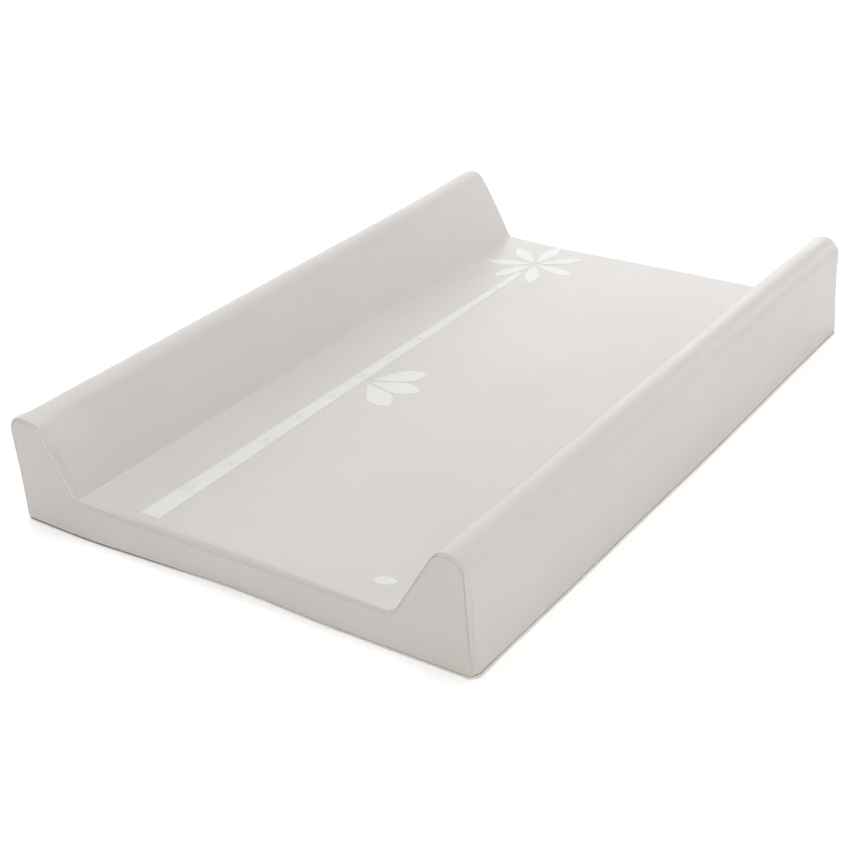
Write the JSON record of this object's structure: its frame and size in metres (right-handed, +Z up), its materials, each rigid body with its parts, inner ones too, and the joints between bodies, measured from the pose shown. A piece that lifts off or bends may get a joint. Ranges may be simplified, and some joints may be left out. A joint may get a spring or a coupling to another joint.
{
  "type": "changing pad",
  "caption": "Wipe-clean baby changing pad with raised foam bolsters along its sides, welted end seams, a bound base edge and a printed ruler stripe.",
  "frame": {"origin": "centre of the underside, on the surface that the pad lies on", "axes": "+X across the pad to its right-hand bolster, +Y along the pad from the front end, where the ruler starts, to the rear end, +Z up"},
  "size_m": [0.48, 0.7, 0.106],
  "materials": {
    "coated_cover": "wipe-clean coated cloth, satin, warm grey",
    "underside_cloth": "coated cloth, matt side out",
    "binding_tape": "folded coated tape, beige",
    "foam": "open-cell polyurethane foam, uncoated",
    "print_ink": "screen-printed ink, off-white"
  },
  "bodies": {
    "root": {"top_cover_sheet": "coated_cover", "front_end_panel": "coated_cover", "rear_end_panel": "coated_cover", "front_end_welt": "coated_cover", "rear_end_welt": "coated_cover", "bottom_sheet": "underside_cloth", "base_binding": "binding_tape", "foam_base_slab": "foam", "right_foam_wedge": "foam", "left_foam_wedge": "foam", "printed_ruler": "print_ink", "printed_leaf_rosette": "print_ink", "printed_leaf_sprig": "print_ink", "printed_leaf_badge": "print_ink"}
  },
  "joints": []
}
